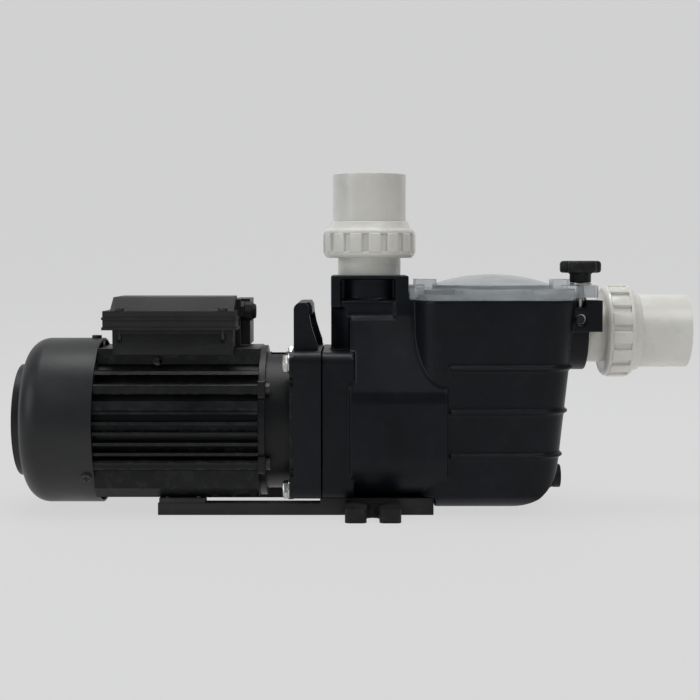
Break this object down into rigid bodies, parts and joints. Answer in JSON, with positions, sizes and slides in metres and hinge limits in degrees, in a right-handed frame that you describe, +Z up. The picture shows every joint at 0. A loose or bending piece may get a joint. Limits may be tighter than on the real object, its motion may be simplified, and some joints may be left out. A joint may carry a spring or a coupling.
{
  "type": "pool pump",
  "caption": "Self-priming pool pump: finned electric motor, moulded volute with carrying handle, strainer pot under a clear clamped lid, and two pipe unions on a slotted base.",
  "frame": {"origin": "centre of the bounding box in plan, on the floor under the feet", "axes": "+X along the shaft towards the suction port, +Z up through the discharge port, +Y away from the side with the lid knob"},
  "size_m": [0.55, 0.174, 0.2742],
  "materials": {
    "black_moulding": "satin moulded black plastic",
    "motor_paint": "satin black paint on cast aluminium",
    "cover_paint": "satin dark grey paint on pressed steel",
    "box_plastic": "fine-grained black plastic",
    "white_pvc": "warm white moulded pipe plastic",
    "basket_plastic": "natural white plastic",
    "clear_plastic": "clear moulded plastic",
    "knob_plastic": "black plastic",
    "base_plastic": "black moulded plastic",
    "zinc_steel": "zinc plated steel",
    "dark_steel": "blackened steel",
    "machined_steel": "ground steel",
    "core_steel": "stacked electrical sheet",
    "copper_winding": "varnished copper wire",
    "black_rubber": "moulded rubber",
    "ceramic": "lapped ceramic",
    "inner_plastic": "glass-filled plastic",
    "capacitor_case": "drawn can",
    "terminal_plastic": "ivory plastic"
  },
  "bodies": {
    "pump": {"fan_cover": "cover_paint", "fan_cover_screws": "dark_steel", "rear_end_shield": "motor_paint", "rear_bearing": "machined_steel", "wave_washer": "machined_steel", "motor_frame": "motor_paint", "stator_core": "core_steel", "stator_windings": "copper_winding", "front_bearing": "machined_steel", "front_end_shield": "motor_paint", "tie_bolts": "dark_steel", "tie_bolt_nuts": "dark_steel", "earth_screw": "dark_steel", "box_gasket": "black_rubber", "box_base": "box_plastic", "terminal_block": "terminal_plastic", "run_capacitor": "capacitor_case", "gland_body": "box_plastic", "mounting_flange": "black_moulding", "volute": "black_moulding", "strainer_pot": "black_moulding", "seal_plate": "inner_plastic", "body_oring": "black_rubber", "seal_seat": "ceramic", "diffuser": "inner_plastic", "diffuser_oring": "black_rubber", "housing_bolts": "zinc_steel", "lid_oring": "black_rubber", "swing_bolt": "zinc_steel", "swing_pin": "dark_steel", "suction_adaptor": "white_pvc", "suction_oring": "black_rubber", "discharge_adaptor": "white_pvc", "discharge_oring": "black_rubber", "motor_pads": "black_rubber", "base_frame": "base_plastic", "base_screws": "zinc_steel"},
    "rotor": {"motor_shaft": "machined_steel", "rotor_core": "core_steel", "cooling_fan": "inner_plastic", "slinger_ring": "black_rubber", "seal_head": "machined_steel", "impeller": "inner_plastic"},
    "terminal_lid": {"box_lid": "box_plastic", "box_screws": "dark_steel"},
    "gland_seal": {"gland_seal": "black_rubber"},
    "gland_nut": {"gland_nut": "box_plastic"},
    "pot_lid": {"lid": "clear_plastic"},
    "knob_washer": {"knob_washer": "zinc_steel"},
    "lid_knob": {"lid_knob": "knob_plastic"},
    "basket": {"strainer_basket": "basket_plastic"},
    "basket_handle": {"basket_handle": "basket_plastic"},
    "suction_tail": {"suction_tail": "white_pvc"},
    "suction_nut": {"suction_nut": "white_pvc"},
    "discharge_tail": {"discharge_tail": "white_pvc"},
    "discharge_nut": {"discharge_nut": "white_pvc"},
    "drain_oring": {"drain_oring": "black_rubber"},
    "drain_plug": {"drain_plug": "knob_plastic"}
  },
  "joints": [
    {"name": "rotor_spin", "type": "hinge", "parent": "pump", "child": "rotor", "pos_m": [0, 0, 0.0716], "axis": [1, 0, 0], "continuous": true},
    {"name": "terminal_lid_lift", "type": "slide", "parent": "pump", "child": "terminal_lid", "axis": [0, 0, 1], "range_m": [0, 0.06]},
    {"name": "gland_seal_out", "type": "slide", "parent": "pump", "child": "gland_seal", "axis": [1, 0, 0], "range_m": [0, 0.00375]},
    {"name": "gland_nut_turn", "type": "hinge", "parent": "gland_seal", "child": "gland_nut", "pos_m": [-0.086, -0.006, 0.162], "axis": [1, 0, 0], "range_deg": [0, 901]},
    {"name": "lid_lift", "type": "slide", "parent": "pump", "child": "pot_lid", "axis": [0, 0, 1], "range_m": [0, 0.15]},
    {"name": "knob_washer_rise", "type": "slide", "parent": "pot_lid", "child": "knob_washer", "axis": [0, 0, 1], "range_m": [0, 0.0081]},
    {"name": "knob_turn", "type": "hinge", "parent": "knob_washer", "child": "lid_knob", "pos_m": [0.181, -0.042, 0.19], "axis": [0, 0, 1], "range_deg": [0, 2880]},
    {"name": "basket_lift", "type": "slide", "parent": "pump", "child": "basket", "axis": [0, 0, 1], "range_m": [0, 0.0901]},
    {"name": "basket_handle_swing", "type": "hinge", "parent": "basket", "child": "basket_handle", "pos_m": [0.114, 0, 0.172], "axis": [-1, 0, 0], "range_deg": [0, 85]},
    {"name": "suction_tail_slide", "type": "slide", "parent": "pump", "child": "suction_tail", "axis": [1, 0, 0], "range_m": [0, 0.03]},
    {"name": "suction_nut_turn", "type": "hinge", "parent": "suction_tail", "child": "suction_nut", "pos_m": [0.215, 0, 0.1456], "axis": [1, 0, 0], "continuous": true},
    {"name": "discharge_tail_lift", "type": "slide", "parent": "pump", "child": "discharge_tail", "axis": [0, 0, 1], "range_m": [0, 0.03]},
    {"name": "discharge_nut_turn", "type": "hinge", "parent": "discharge_tail", "child": "discharge_nut", "pos_m": [0.013, 0, 0.218], "axis": [0, 0, 1], "continuous": true},
    {"name": "drain_oring_out", "type": "slide", "parent": "pump", "child": "drain_oring", "axis": [1, 0, 0], "range_m": [0, 0.0121]},
    {"name": "drain_plug_turn", "type": "hinge", "parent": "drain_oring", "child": "drain_plug", "pos_m": [0.168, 0, 0.0245], "axis": [1, 0, 0], "range_deg": [0, 2880]}
  ],
  "couplings": [
    {"joint": "gland_nut_turn", "follows": "gland_seal_out", "rad_per_m": 4188.8},
    {"joint": "knob_washer_rise", "follows": "knob_turn", "m_per_rad": 0.00015915},
    {"joint": "basket_lift", "follows": "lid_lift", "ratio": 0.6},
    {"joint": "basket_handle_swing", "follows": "lid_lift", "rad_per_m": 9.8},
    {"joint": "drain_oring_out", "follows": "drain_plug_turn", "m_per_rad": 0.00023873}
  ]
}
